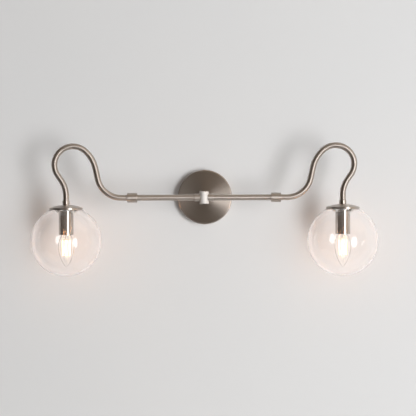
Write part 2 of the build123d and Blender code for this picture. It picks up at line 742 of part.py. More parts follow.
def make_socket_cup(side, sign):
    top = CLIP_TOP - CLIP_THICKNESS
    with BuildPart() as cup:
        with BuildSketch(lamp_section(sign, CUP_BOTTOM)):
            Circle(CUP_RADIUS)
        extrude(amount=top - CUP_BOTTOM)
        fillet(cup.edges().filter_by(GeomType.CIRCLE).sort_by(Axis.Z)[-1], CUP_EDGE)
        offset(amount=-CUP_WALL, openings=cup.faces().sort_by(Axis.Z)[0])
        with BuildSketch(lamp_section(sign, top)):
            Circle(NIPPLE_RADIUS + RUNNING)
        extrude(amount=-2 * CUP_WALL, mode=Mode.SUBTRACT)
    save(cup, f"{side}_socket_cup")


def make_socket_nut(side, sign):
    top = CLIP_TOP - CLIP_THICKNESS - CUP_WALL
    with BuildPart() as nut:
        with BuildSketch(lamp_section(sign, top)):
            RegularPolygon(NUT_FLATS / 2, 6, major_radius=False)
            Circle(NIPPLE_RADIUS + RUNNING, mode=Mode.SUBTRACT)
        extrude(amount=-SOCKET_NUT_HEIGHT)
    save(nut, f"{side}_socket_nut")


def make_lampholder(side, sign):
    with BuildPart() as holder:
        with BuildSketch(lamp_section(sign, HOLDER_TOP)):
            Circle(HOLDER_TOP_RADIUS)
        extrude(amount=HOLDER_SHOULDER - HOLDER_TOP)
        chamfer(holder.edges().filter_by(GeomType.CIRCLE), BREAK)
        with BuildSketch(lamp_section(sign, HOLDER_SHOULDER)):
            Circle(HOLDER_RADIUS)
        extrude(amount=HOLDER_BOTTOM - HOLDER_SHOULDER)
        with BuildSketch(lamp_section(sign, HOLDER_TOP)):
            Circle(NIPPLE_RADIUS + RUNNING)
        extrude(amount=-HOLDER_THREAD_DEPTH, mode=Mode.SUBTRACT)
        with BuildSketch(lamp_section(sign, HOLDER_BOTTOM)):
            Circle(SHELL_BORE + SHELL_WALL + SLIP)
        extrude(amount=HOLDER_FLOOR - HOLDER_BOTTOM, mode=Mode.SUBTRACT)
    save(holder, f"{side}_lampholder")


def make_screw_shell(side, sign):
    with BuildPart() as shell:
        with BuildSketch(lamp_section(sign, SHELL_BOTTOM)):
            Circle(SHELL_BORE + SHELL_WALL)
            Circle(SHELL_BORE, mode=Mode.SUBTRACT)
        extrude(amount=SHELL_TOP - SHELL_BOTTOM)
    save(shell, f"{side}_screw_shell")


def make_centre_contact(side, sign):
    half = CONTACT_THICKNESS / 2
    with BuildPart() as contact:
        with BuildSketch(lamp_plane(sign)):
            with BuildLine():
                Polyline(
                    (-CONTACT_HALF_LENGTH, HOLDER_FLOOR - half),
                    (CONTACT_HALF_LENGTH, HOLDER_FLOOR - half),
                    (CONTACT_HALF_LENGTH / 2, BULB_CONTACT + 2 * half),
                    (-CONTACT_HALF_LENGTH / 2, BULB_CONTACT + 2 * half),
                )
            trace(line_width=CONTACT_THICKNESS)
        extrude(amount=CONTACT_WIDTH / 2, both=True)
    save(contact, f"{side}_centre_contact")


# ---------------------------------------------------------------------------------- bulb


def bulb_outline(inset):
    """Half outline of the bulb's glass, drawn from the neck to the tip, moved inwards by inset."""
    widen = BULB_RADIUS - BULB_NECK_RADIUS
    drop = BULB_FLARE_START - BULB_WIDEST
    flare_turn = 2 * degrees(atan2(widen, drop))
    shoulder_radius = drop / sin(radians(flare_turn)) - BULB_FLARE_RADIUS
    belly_height = BULB_WIDEST - BULB_TIP - BULB_TIP_RADIUS
    belly_radius = (BULB_RADIUS**2 + belly_height**2 - BULB_TIP_RADIUS**2) / (
        2 * (BULB_RADIUS - BULB_TIP_RADIUS)
    )
    belly_turn = degrees(atan2(belly_height, belly_radius - BULB_RADIUS))
    neck = Line(
        (BULB_NECK_RADIUS - inset, BULB_NECK_TOP),
        (BULB_NECK_RADIUS - inset, BULB_FLARE_START),
    )
    flare = JernArc(neck @ 1, neck % 1, BULB_FLARE_RADIUS + inset, flare_turn)
    shoulder = JernArc(flare @ 1, flare % 1, shoulder_radius - inset, -flare_turn)
    belly = JernArc(shoulder @ 1, shoulder % 1, belly_radius - inset, -belly_turn)
    tip = JernArc(belly @ 1, belly % 1, BULB_TIP_RADIUS - inset, belly_turn - 90)
    Polyline(tip @ 1, (0, BULB_NECK_TOP), (BULB_NECK_RADIUS - inset, BULB_NECK_TOP))


def make_bulb_glass(side, sign):
    with BuildPart() as glass:
        for inset, mode in ((0, Mode.ADD), (BULB_GLASS_WALL, Mode.SUBTRACT)):
            with BuildSketch(lamp_plane(sign)):
                with BuildLine():
                    bulb_outline(inset)
                make_face()
            revolve(axis=lamp_axis(sign), mode=mode)
    save(glass, f"{side}_bulb_glass")


def make_bulb_base(side, sign):
    top = BULB_CONTACT - BULB_INSULATOR_HEIGHT
    with BuildPart() as base:
        with BuildSketch(lamp_section(sign, BULB_BASE_END)):
            Circle(BULB_BASE_RADIUS)
            Circle(BULB_BASE_RADIUS - BULB_BASE_WALL, mode=Mode.SUBTRACT)
        extrude(amount=top - BULB_BASE_END)
    save(base, f"{side}_bulb_base")


def make_bulb_insulator(side, sign):
    top = BULB_CONTACT - BULB_BUTTON_HEIGHT
    bottom = BULB_CONTACT - BULB_INSULATOR_HEIGHT
    plug = BULB_BASE_RADIUS - BULB_BASE_WALL - SLIP
    with BuildPart() as insulator:
        with BuildSketch(lamp_section(sign, bottom)):
            Circle(BULB_BASE_RADIUS)
        with BuildSketch(lamp_section(sign, top)):
            Circle(BULB_BASE_RADIUS / 2)
        loft()
        with BuildSketch(lamp_section(sign, bottom)):
            Circle(plug)
        extrude(amount=-BULB_INSULATOR_HEIGHT)
        with BuildSketch(lamp_section(sign, top)):
            Circle(BULB_BUTTON_RADIUS)
        extrude(amount=BULB_BUTTON_HEIGHT)
    save(insulator, f"{side}_bulb_insulator")


def filament_end(angle, spread, height):
    return (spread * cos(radians(angle)), spread * sin(radians(angle)), height)


def make_filament_mount(side, sign):
    neck_bore = BULB_NECK_RADIUS - BULB_GLASS_WALL - SLIP
    step = 360 / FILAMENT_COUNT
    beyond = STEM_WIRE_RADIUS + FILAMENT_LEAD
    with BuildPart() as mount:
        with BuildSketch(lamp_section(sign, BULB_NECK_TOP)):
            Circle(neck_bore)
        with BuildSketch(lamp_section(sign, BULB_NECK_TOP - STEM_FLARE_HEIGHT)):
            Circle(STEM_RADIUS)
        loft()
        with BuildSketch(lamp_section(sign, BULB_NECK_TOP - STEM_FLARE_HEIGHT)):
            Circle(STEM_RADIUS)
        extrude(amount=STEM_BOTTOM - BULB_NECK_TOP + STEM_FLARE_HEIGHT)
        with BuildSketch(lamp_section(sign, STEM_BOTTOM)):
            Circle(STEM_WIRE_RADIUS)
        extrude(amount=FILAMENT_BOTTOM - STEM_BOTTOM - beyond)
        for arm in range(FILAMENT_COUNT):
            for turn, spread, height in (
                (arm * step, FILAMENT_TOP_SPREAD, FILAMENT_TOP + beyond),
                (arm * step + FILAMENT_TWIST, FILAMENT_BOTTOM_SPREAD, FILAMENT_BOTTOM - beyond),
            ):
                spoke = lamp_plane(sign, turn)
                across = Plane(origin=spoke.from_local_coords((0, height)), z_dir=spoke.x_dir)
                with BuildSketch(across):
                    Circle(STEM_WIRE_RADIUS)
                extrude(amount=spread)
    save(mount, f"{side}_filament_mount")


def make_filaments(side, sign):
    step = 360 / FILAMENT_COUNT
    centre = lamp_section(sign, 0)
    with BuildPart() as filaments:
        for arm in range(FILAMENT_COUNT):
            top = centre.from_local_coords(filament_end(arm * step, FILAMENT_TOP_SPREAD, FILAMENT_TOP))
            bottom = centre.from_local_coords(
                filament_end(arm * step + FILAMENT_TWIST, FILAMENT_BOTTOM_SPREAD, FILAMENT_BOTTOM)
            )
            with BuildSketch(Plane(origin=top, z_dir=bottom - top)):
                Circle(FILAMENT_RADIUS)
            extrude(amount=(bottom - top).length)
    save(filaments, f"{side}_filaments")


def make_wall_side():
    make_canopy()
    make_mounting_crossbar()
    make_canopy_side_screws()
    make_ground_screw()
    make_mounting_nipple()
    make_nipple_washer()
    make_nipple_nut()
    make_post_flange()
    make_post()
    make_hub()
    make_hub_cap()
    make_swivel_stop_screws()


def make_side(side, sign):
    make_hub_ferrule(side, sign)
    make_arm_tube(side, sign)
    make_swivel_collar(side, sign)
    make_friction_washer(side, sign)
    make_swivel_spigot(side, sign)
    make_gooseneck(side, sign)
    make_neck_ferrule(side, sign)
    make_cap(side, sign)
    make_shade_gasket(side, sign)
    make_globe(side, sign)
    make_lamp_nipple(side, sign)
    make_cap_spacer(side, sign)
    make_spring_clip(side, sign)
    make_socket_cup(side, sign)
    make_socket_nut(side, sign)
    make_lampholder(side, sign)
    make_screw_shell(side, sign)
    make_centre_contact(side, sign)
    make_bulb_glass(side, sign)
    make_bulb_base(side, sign)
    make_bulb_insulator(side, sign)
    make_filament_mount(side, sign)
    make_filaments(side, sign)


os.makedirs("parts", exist_ok=True)
make_wall_side()
for side_name, side_sign in SIDES.items():
    make_side(side_name, side_sign)
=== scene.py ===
import json
import math

import bmesh
import bpy
from mathutils import Matrix, Vector


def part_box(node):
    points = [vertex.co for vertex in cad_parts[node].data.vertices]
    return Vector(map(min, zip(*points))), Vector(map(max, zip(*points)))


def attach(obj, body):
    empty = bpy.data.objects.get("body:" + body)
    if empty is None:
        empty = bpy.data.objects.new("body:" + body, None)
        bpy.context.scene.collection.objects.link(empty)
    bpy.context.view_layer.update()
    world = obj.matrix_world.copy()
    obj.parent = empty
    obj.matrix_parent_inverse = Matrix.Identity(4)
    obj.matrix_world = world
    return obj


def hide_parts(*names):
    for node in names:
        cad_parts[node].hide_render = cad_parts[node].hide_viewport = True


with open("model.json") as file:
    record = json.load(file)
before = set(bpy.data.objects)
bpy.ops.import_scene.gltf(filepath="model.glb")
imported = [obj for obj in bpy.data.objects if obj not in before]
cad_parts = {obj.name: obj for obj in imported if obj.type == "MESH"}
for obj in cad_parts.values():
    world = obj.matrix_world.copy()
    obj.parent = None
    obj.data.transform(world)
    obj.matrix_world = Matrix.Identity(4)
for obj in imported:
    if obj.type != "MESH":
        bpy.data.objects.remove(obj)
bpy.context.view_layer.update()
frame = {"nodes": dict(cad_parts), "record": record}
nodes = frame["nodes"]

# Metres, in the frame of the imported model: origin at the middle of the canopy's wall side, +X to the
# viewer's right, +Y into the wall, +Z up.
SIDES = {"left": -1, "right": 1}
ARMS_Y = -0.105  # plane of the arms and the lamps' axes

# Camera: a square picture taken from in front, a little to the right and above, with a long lens.
CAMERA_PLACE = (0.057, ARMS_Y - 2.4, 0.025)
CAMERA_AIM = (0.0085, ARMS_Y, -0.0226)
CAMERA_ROLL = math.radians(-0.22)
VIEW_WIDTH = 0.8944  # across the plane of the arms
SENSOR = 36.0

# Large softbox in front, far off on the right and level with the shades; its edges fade
KEY_PLACE = (2.75, -4.20, -0.35)
KEY_AIM = (0.0, ARMS_Y, -0.10)
KEY_WIDTH = 2.8
KEY_HEIGHT = 4.7
KEY_EDGE = 0.5  # share of the width and height over which each edge fades
KEY_LEVEL = 21.5  # brightness of its middle
KEY_COLOUR = (0.97, 0.985, 1.0, 1.0)

# Wall, cove and floor
WALL_GAP = 0.0004
WALL_HALF = 6.0
WALL_TOP = 4.0
FLOOR_DROP = 2.9
FLOOR_DEPTH = 3.0
COVE_RADIUS = 0.5
COVE_STEPS = 12

# Swan neck, as its bends run outwards from the collar: radius, turn in degrees, straight run after it
NECK_BENDS = (
    (0.0520, 77.8, 0.0231),
    (0.0697, -36.6, 0.0),
    (0.0399, -166.5, 0.0108),
    (0.0603, 35.3, 0.0),
)
TUBE_RADIUS = 0.00635
TUBE_BORE = 0.00505
TUBE_SIDES = 48
BEND_STEP = 2.0  # degrees between the rings of a bend
SHARP_ANGLE = math.radians(35)
LOW_HEAD = 0.3  # height of the canopy screws' heads, as a share of the ones in the model


# ------------------------------------------------------------------------------------ node helpers


def new_material(name):
    material = bpy.data.materials.new(name)
    material.use_nodes = True
    tree = material.node_tree
    tree.nodes.clear()
    output = tree.nodes.new("ShaderNodeOutputMaterial")
    return material, tree, output


def node(tree, kind, **settings):
    """Adds a shader node; settings that are inputs are given by their socket names."""
    made = tree.nodes.new(kind)
    for key, value in settings.items():
        if key in made.inputs:
            made.inputs[key].default_value = value
        else:
            setattr(made, key, value)
    return made


def link(tree, start, end):
    tree.links.new(start, end)


def math_node(tree, operation, first, second=None):
    """Adds a maths node; each of first and second is a socket or a number."""
    made = node(tree, "ShaderNodeMath", operation=operation)
    for place, value in enumerate((first, second)):
        if isinstance(value, (int, float)):
            made.inputs[place].default_value = value
        elif value is not None:
            link(tree, value, made.inputs[place])
    return made.outputs["Value"]


def map_range(tree, value, old, new, smooth=False):
    made = node(tree, "ShaderNodeMapRange")
    if smooth:
        made.interpolation_type = "SMOOTHSTEP"
    for key, number in zip(("From Min", "From Max", "To Min", "To Max"), (*old, *new)):
        made.inputs[key].default_value = number
    link(tree, value, made.inputs["Value"])
    return made.outputs["Result"]


def mix_numbers(tree, factor, first, second):
    """Blends two numbers; first is a socket, second a number."""
    made = node(tree, "ShaderNodeMix")
    link(tree, factor, made.inputs["Factor"])
    link(tree, first, made.inputs["A"])
    made.inputs["B"].default_value = second
    return made.outputs["Result"]


def mix_colours(tree, factor, first, second):
    """Blends two colours; first and second are colours or sockets."""
    made = node(tree, "ShaderNodeMix", data_type="RGBA")
    link(tree, factor, made.inputs["Factor"])
    for socket, value in zip((made.inputs[6], made.inputs[7]), (first, second)):
        if isinstance(value, tuple):
            socket.default_value = value
        else:
            link(tree, value, socket)
    return made.outputs[2]


def mix_shaders(tree, factor, first, second):
    made = tree.nodes.new("ShaderNodeMixShader")
    for socket, value in zip(made.inputs, (factor, first, second)):
        link(tree, value, socket)
    return made.outputs["Shader"]


def add_shaders(tree, first, second):
    made = tree.nodes.new("ShaderNodeAddShader")
    for socket, value in zip(made.inputs, (first, second)):
        link(tree, value, socket)
    return made.outputs["Shader"]


def object_noise(tree, scale, detail):
    """Noise that is fixed to the object, in its own metres."""
    place = node(tree, "ShaderNodeTexCoord")
    noise = node(tree, "ShaderNodeTexNoise", Scale=scale, Detail=detail)
    link(tree, place.outputs["Object"], noise.inputs["Vector"])
    return noise.outputs["Fac"]


def add_bump(tree, shader, height, strength, depth):
    bump = node(tree, "ShaderNodeBump", Strength=strength, Distance=depth)
    link(tree, height, bump.inputs["Height"])
    link(tree, bump.outputs["Normal"], shader.inputs["Normal"])
    return bump


def through_glass(tree, rays):
    """One for a ray that has come through glass without a reflection, otherwise zero."""
    unreflected = math_node(tree, "LESS_THAN", rays.outputs["Glossy Depth"], 0.5)
    return math_node(tree, "MULTIPLY", rays.outputs["Is Transmission Ray"], unreflected)


def seen_directly(tree, rays):
    """One for a ray from the camera, straight or through glass, otherwise zero."""
    return math_node(tree, "MAXIMUM", rays.outputs["Is Camera Ray"], through_glass(tree, rays))


def srgb(red, green, blue):
    """Linear colour of an 8-bit display colour."""
    parts = []
    for value in (red, green, blue):
        share = value / 255
        parts.append(share / 12.92 if share <= 0.04045 else ((share + 0.055) / 1.055) ** 2.4)
    return (*parts, 1.0)


def darker(colour, share):
    return tuple(share * part for part in colour[:3]) + (1.0,)


def principled(tree, output, **inputs):
    shader = tree.nodes.new("ShaderNodeBsdfPrincipled")
    for key, value in inputs.items():
        shader.inputs[key.replace("_", " ")].default_value = value
    link(tree, shader.outputs["BSDF"], output.inputs["Surface"])
    return shader


# ------------------------------------------------------------------------------------ materials

NICKEL = (0.54, 0.49, 0.45, 1.0)
# Same satin nickel made darker for the canopy, post and post flange: painted shade
NICKEL_WITH_PAINTED_SHADE = (0.42, 0.37, 0.33, 1.0)
# Same satin nickel made paler for the hub and hub cap: a painted highlight
NICKEL_WITH_PAINTED_LIGHT = (0.62, 0.595, 0.57, 1.0)
GROOVES_ACROSS = 260.0  # brushing lines over a piece's width
GROOVES_AROUND = 65.0  # lengthwise lines, by their spread round the axis
GROOVES_ALONG = 3.0  # breaks in a lengthwise line
GROOVES_ALONG_TUBE = 1820.0  # a metre
SPREAD_ACROSS_GROOVES = 0.25  # quarter turn of the highlight's long direction
MOST_NOISE = (0.3, 0.7)  # span that holds most of a noise's values
GRAIN_SHADE = 0.88  # darkest grain, as a share of the metal's colour
GRAIN_ROUGHNESS = 0.04
GRAIN_RELIEF = 0.12
GRAIN_DEPTH = 0.00005

MOTTLE_SCALE = 900.0
MOTTLE_SHADE = 0.85
MOTTLE_RELIEF = 0.1
MOTTLE_DEPTH = 0.0001

CLOUD_SCALE = 18.0
CLOUD_SPREAD = (0.8, 1.2)
GLASS_SHADOW = (0.97, 0.97, 0.97, 1.0)
GLASS_VEIL = (0.95, 0.90, 0.95, 1.0)
BULB_VEIL = (0.6, 0.8, 0.8, 1.0)

PHOSPHOR_SCALE = 1500.0
PHOSPHOR_SPREAD = (0.9, 1.1)
PHOSPHOR_COLOUR = (1.0, 0.49, 0.23, 1.0)
PHOSPHOR_SEEN = 9.0
PHOSPHOR_CAST = 60.0


def polar_place(tree, axis):
    """Sockets of a piece's own place: distance from its axis, place along it, cosine and sine of the turn."""
    place = node(tree, "ShaderNodeTexCoord")
    middle = node(tree, "ShaderNodeVectorMath", operation="SUBTRACT")
    middle.inputs[1].default_value = (0.5, 0.5, 0.5)
    link(tree, place.outputs["Generated"], middle.inputs[0])
    parts = node(tree, "ShaderNodeSeparateXYZ")
    link(tree, middle.outputs["Vector"], parts.inputs["Vector"])
    first, second = [letter for letter in "XYZ" if letter != axis]
    squares = [math_node(tree, "POWER", parts.outputs[letter], 2.0) for letter in (first, second)]
    radius = math_node(tree, "SQRT", math_node(tree, "ADD", squares[0], squares[1]))
    cosine = math_node(tree, "DIVIDE", parts.outputs[first], radius)
    sine = math_node(tree, "DIVIDE", parts.outputs[second], radius)
    return radius, parts.outputs[axis], cosine, sine


def grain_noise(tree, x, y, z):
    """Noise at a point that is put together from three sockets."""
    place = node(tree, "ShaderNodeCombineXYZ")
    for socket, value in zip(place.inputs, (x, y, z)):
        link(tree, value, socket)
    noise = node(tree, "ShaderNodeTexNoise", Scale=1.0, Detail=3.0, Roughness=0.65)
    link(tree, place.outputs["Vector"], noise.inputs["Vector"])
    return noise.outputs["Fac"]


def finish_metal(tree, shader, grain, colour, roughness):
    """Grain drives a metal's shade, its roughness and a fine relief."""
    paleness = map_range(tree, grain, MOST_NOISE, (0.0, 1.0))
    shade = mix_colours(tree, paleness, darker(colour, GRAIN_SHADE), colour)
    link(tree, shade, shader.inputs["Base Color"])
    spread = (roughness + GRAIN_ROUGHNESS, roughness - GRAIN_ROUGHNESS)
    link(tree, map_range(tree, grain, MOST_NOISE, spread), shader.inputs["Roughness"])
    return add_bump(tree, shader, grain, GRAIN_RELIEF, GRAIN_DEPTH)


def turned(name, axis, roughness, anisotropy, colour=NICKEL, crown=0.0):
    """Metal brushed on a lathe: grooves run round the axis, so light spreads across them.

    A crown, in metres over the piece's width, makes a flat face shade as a very low cone.
    """
    material, tree, output = new_material(name)
    shader = principled(tree, output, Metallic=1.0, Anisotropic=anisotropy)
    shader.inputs["Anisotropic Rotation"].default_value = SPREAD_ACROSS_GROOVES
    tangent = node(tree, "ShaderNodeTangent", direction_type="RADIAL", axis=axis)
    link(tree, tangent.outputs["Tangent"], shader.inputs["Tangent"])
    radius, along, cosine, sine = polar_place(tree, axis)
    fine = math_node(tree, "MULTIPLY", math_node(tree, "ADD", radius, along), GROOVES_ACROSS)
    fine_bump = finish_metal(tree, shader, grain_noise(tree, fine, cosine, sine), colour, roughness)
    if crown:
        cone = node(tree, "ShaderNodeBump", Strength=1.0, Distance=crown)
        link(tree, math_node(tree, "MULTIPLY", radius, -1.0), cone.inputs["Height"])
        link(tree, cone.outputs["Normal"], fine_bump.inputs["Normal"])
    return material


def lengthwise(name, axis, roughness, anisotropy, colour):
    """Satin metal brushed along its axis: the light spreads round it."""
    material, tree, output = new_material(name)
    shader = principled(tree, output, Metallic=1.0, Anisotropic=anisotropy)
    tangent = node(tree, "ShaderNodeTangent", direction_type="RADIAL", axis=axis)
    link(tree, tangent.outputs["Tangent"], shader.inputs["Tangent"])
    _, along, cosine, sine = polar_place(tree, axis)
    grain = grain_noise(
        tree,
        math_node(tree, "MULTIPLY", along, GROOVES_ALONG),
        math_node(tree, "MULTIPLY", cosine, GROOVES_AROUND),
        math_node(tree, "MULTIPLY", sine, GROOVES_AROUND),
    )
    finish_metal(tree, shader, grain, colour, roughness)
    return material


def bent_tube_metal(name, roughness, anisotropy):
    """Brushing round a bent tube, whose UV map runs along it in metres and round it in turns."""
    material, tree, output = new_material(name)
    shader = principled(tree, output, Metallic=1.0, Anisotropic=anisotropy)
    tangent = node(tree, "ShaderNodeTangent", direction_type="UV_MAP", uv_map="along")
    link(tree, tangent.outputs["Tangent"], shader.inputs["Tangent"])
    place = node(tree, "ShaderNodeUVMap", uv_map="along")
    parts = node(tree, "ShaderNodeSeparateXYZ")
    link(tree, place.outputs["UV"], parts.inputs["Vector"])
    turn = math_node(tree, "MULTIPLY", parts.outputs["Y"], 2 * math.pi)
    grain = grain_noise(
        tree,
        math_node(tree, "MULTIPLY", parts.outputs["X"], GROOVES_ALONG_TUBE),
        math_node(tree, "COSINE", turn),
        math_node(tree, "SINE", turn),
    )
    finish_metal(tree, shader, grain, NICKEL, roughness)
    return material


def clear_glass(name, ior, veil_colour, tilts, veils):
    """Clear glass under a thin matt veil, whose amount goes from veils[0] to veils[1] between two tilts."""
    material, tree, output = new_material(name)
    clear = principled(tree, output, Roughness=0.0, IOR=ior, Transmission_Weight=1.0)
    clear.inputs["Base Color"].default_value = (1.0, 1.0, 1.0, 1.0)
    lit = node(tree, "ShaderNodeBsdfDiffuse", Color=veil_colour)
    shone_through = node(tree, "ShaderNodeBsdfTranslucent", Color=veil_colour)
    veil = add_shaders(tree, lit.outputs["BSDF"], shone_through.outputs["BSDF"])
    edge = node(tree, "ShaderNodeLayerWeight", Blend=0.5)
    rim = map_range(tree, edge.outputs["Facing"], tilts, veils, smooth=True)
    clouds = node(tree, "ShaderNodeTexNoise", Scale=CLOUD_SCALE, Detail=2.0)
    cloudy = map_range(tree, clouds.outputs["Fac"], MOST_NOISE, CLOUD_SPREAD)
    hazy = mix_shaders(tree, math_node(tree, "MULTIPLY", rim, cloudy), clear.outputs["BSDF"], veil)
    rays = node(tree, "ShaderNodeLightPath")
    passed = math_node(tree, "MAXIMUM", rays.outputs["Is Shadow Ray"], rays.outputs["Is Diffuse Ray"])
    thin = node(tree, "ShaderNodeBsdfTransparent", Color=GLASS_SHADOW)
    surface = mix_shaders(tree, passed, hazy, thin.outputs["BSDF"])
    link(tree, surface, output.inputs["Surface"])
    return material


def simple(name, colour, **inputs):
    """Cast, moulded or plated surface with a slight mottle in its colour and a fine bump."""
    material, tree, output = new_material(name)
    shader = principled(tree, output, **inputs)
    mottle = object_noise(tree, MOTTLE_SCALE, 2.0)
    shade = mix_colours(tree, mottle, darker(colour, MOTTLE_SHADE), colour)
    link(tree, shade, shader.inputs["Base Color"])
    add_bump(tree, shader, mottle, MOTTLE_RELIEF, MOTTLE_DEPTH)
    return material


def glowing(name, colour, seen, cast):
    """Phosphor rods: an even warm glow with a fine grain; they cast more light than they show."""
    material, tree, output = new_material(name)
    glow = node(tree, "ShaderNodeEmission", Color=colour)
    rays = node(tree, "ShaderNodeLightPath")
    level = map_range(tree, seen_directly(tree, rays), (0.0, 1.0), (cast, seen))
    grain = map_range(tree, object_noise(tree, PHOSPHOR_SCALE, 1.0), (0.0, 1.0), PHOSPHOR_SPREAD)
    link(tree, math_node(tree, "MULTIPLY", level, grain), glow.inputs["Strength"])
    link(tree, glow.outputs["Emission"], output.inputs["Surface"])
    return material


# The metals' numbers are their roughness and anisotropy, the glasses' their refractive index, the two tilts
# and the veil's amount at each.
MATERIALS = {
    "turned_x": turned("satin_nickel_turned_x", "X", 0.5, 0.85),
    # The canopy, post and post flange take the darker nickel, which is painted shade
    "turned_y": turned("satin_nickel_turned_y_painted_shade", "Y", 0.352, 0.76, NICKEL_WITH_PAINTED_SHADE, crown=0.006),
    "turned_z": turned("satin_nickel_turned_z", "Z", 0.34, 0.9),
    # The hub and its cap take the paler nickel, which is painted light
    "lengthwise_z": lengthwise("satin_nickel_lengthwise_painted_light", "Z", 0.58, 0.8, NICKEL_WITH_PAINTED_LIGHT),
    "bent_tube": bent_tube_metal("satin_nickel_tube", 0.5, 0.85),
    "polished_nickel": turned("polished_nickel", "Z", 0.09, 0.3),
    "zinc_steel": simple("zinc_steel", srgb(180, 184, 188), Metallic=1.0, Roughness=0.35),
    "spring_steel": simple("spring_steel", srgb(214, 212, 208), Metallic=1.0, Roughness=0.4),
    "green_steel": simple("green_steel", srgb(40, 130, 70), Metallic=0.2, Roughness=0.4),
    "clear_glass": clear_glass("clear_glass", 1.38, GLASS_VEIL, (0.4, 0.75), (0.006, 0.05)),
    "bulb_glass": clear_glass("bulb_glass", 1.12, BULB_VEIL, (0.03, 0.14), (0.05, 0.0035)),
    "stem_glass": simple("stem_glass", srgb(225, 222, 215), Roughness=0.1),
    "filament": glowing("filament", PHOSPHOR_COLOUR, PHOSPHOR_SEEN, PHOSPHOR_CAST),
    "brass": simple("brass", srgb(205, 170, 105), Metallic=1.0, Roughness=0.3),
    "bulb_base": simple("bulb_base", srgb(200, 200, 198), Metallic=1.0, Roughness=0.25),
    "black_glass": simple("black_glass", srgb(20, 20, 24), Roughness=0.1),
    "phenolic": simple("phenolic", srgb(226, 220, 205), Roughness=0.45),
    "nylon": simple("nylon", srgb(232, 230, 220), Roughness=0.4),
    "silicone": simple("silicone", srgb(215, 215, 212), Roughness=0.35),
}

SATIN_FINISH = {
    "canopy": "turned_y",
    "post": "turned_y",
    "post_flange": "turned_y",
    "hub": "lengthwise_z",
    "hub_cap": "lengthwise_z",
    "canopy_side_screws": "turned_z",
    "hub_ferrule": "turned_x",
    "arm_tube": "turned_x",
    "swivel_collar": "turned_x",
    "gooseneck": "bent_tube",
    "neck_ferrule": "turned_z",
    "cap": "turned_z",
}


def bare_name(name):
    for side in SIDES:
        if name.startswith(side + "_"):
            return name[len(side) + 1 :]
    return name


def dress_nodes():
    slot_of = {entry["node"]: entry["material_slot"] for entry in frame["record"]["subparts"]}
    for name, thing in nodes.items():
        finish = slot_of[name]
        if finish == "satin_nickel":
            finish = SATIN_FINISH[bare_name(name)]
        thing.data.materials.clear()
        thing.data.materials.append(MATERIALS[finish])


# ------------------------------------------------------------------------------------ modelled pieces


def add_piece(name, mesh, body, slot, material, *replaced):
    """Puts a finished mesh in the scene as a piece of the object."""
    for polygon in mesh.polygons:
        polygon.use_smooth = True
    mesh.set_sharp_from_angle(angle=SHARP_ANGLE)
    mesh.materials.append(MATERIALS[material])
    piece = bpy.data.objects.new(name, mesh)
    bpy.context.scene.collection.objects.link(piece)
    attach(piece, body)
    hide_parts(*replaced)
    return piece


def neck_reach():
    """Outward distance that the neck's bends and the straight runs after them cover."""
    heading = 0.0
    reach = 0.0
    for radius, turn, run in NECK_BENDS:
        leaving = heading + math.radians(turn)
        reach += math.copysign(radius, turn) * (math.sin(leaving) - math.sin(heading))
        reach += run * math.cos(leaving)
        heading = leaving
    return reach


def neck_line(start, lamp, end_height):
    """Points of the neck's centreline with their headings: distances out from the hub and heights."""
    points = [(start, 0.0, 0.0)]
    out = lamp - neck_reach()
    height = 0.0
    heading = 0.0
    points.append((out, height, heading))
    for radius, turn, run in NECK_BENDS:
        steps = max(2, round(abs(turn) / BEND_STEP))
        side = math.copysign(1.0, turn)
        centre = (out - side * radius * math.sin(heading), height + side * radius * math.cos(heading))
        first = heading
        for step in range(1, steps + 1):
            heading = first + math.radians(turn) * step / steps
            out = centre[0] + side * radius * math.sin(heading)
            height = centre[1] - side * radius * math.cos(heading)
            points.append((out, height, heading))
        if run > 0:
            out += run * math.cos(heading)
            height += run * math.sin(heading)
            points.append((out, height, heading))
    points.append((out, end_height, heading))
    return points


def tube_mesh(name, line, sign):
    """Hollow tube along a line in the plane of the arms, with a UV map that runs along and round it."""
    mesh = bpy.data.meshes.new(name)
    built = bmesh.new()
    along_map = built.loops.layers.uv.new("along")
    lengths = [0.0]
    for before, after in zip(line, line[1:]):
        lengths.append(lengths[-1] + math.dist(before[:2], after[:2]))

    def rings(radius):
        rows = []
        for out, height, heading in line:
            row = []
            for step in range(TUBE_SIDES):
                angle = 2 * math.pi * step / TUBE_SIDES
                rise = radius * math.sin(angle)
                x = sign * (out - rise * math.sin(heading))
                z = height + rise * math.cos(heading)
                row.append(built.verts.new((x, ARMS_Y - radius * math.cos(angle), z)))
            rows.append(row)
        return rows

    outside = rings(TUBE_RADIUS)
    inside = rings(TUBE_BORE)

    def quad(corners, places):
        if sign < 0:
            corners.reverse()
            places.reverse()
        face = built.faces.new(corners)
        for loop, place in zip(face.loops, places):
            loop[along_map].uv = place

    for row in range(len(line) - 1):
        for step in range(TUBE_SIDES):
            after = (step + 1) % TUBE_SIDES
            places = [
                (lengths[row], step / TUBE_SIDES),
                (lengths[row + 1], step / TUBE_SIDES),
                (lengths[row + 1], (step + 1) / TUBE_SIDES),
                (lengths[row], (step + 1) / TUBE_SIDES),
            ]
            near, far = outside[row], outside[row + 1]
            quad([near[step], far[step], far[after], near[after]], list(places))
            near, far = inside[row + 1], inside[row]
            turned_places = [places[1], places[0], places[3], places[2]]
            quad([near[step], far[step], far[after], near[after]], turned_places)
    for step in range(TUBE_SIDES):
        after = (step + 1) % TUBE_SIDES
        flat = [(0.0, step / TUBE_SIDES)] * 2 + [(0.0, (step + 1) / TUBE_SIDES)] * 2
        quad([inside[0][step], outside[0][step], outside[0][after], inside[0][after]], list(flat))
        quad([outside[-1][step], inside[-1][step], inside[-1][after], outside[-1][after]], list(flat))
    built.to_mesh(mesh)
    built.free()
    mesh.update()
    return mesh


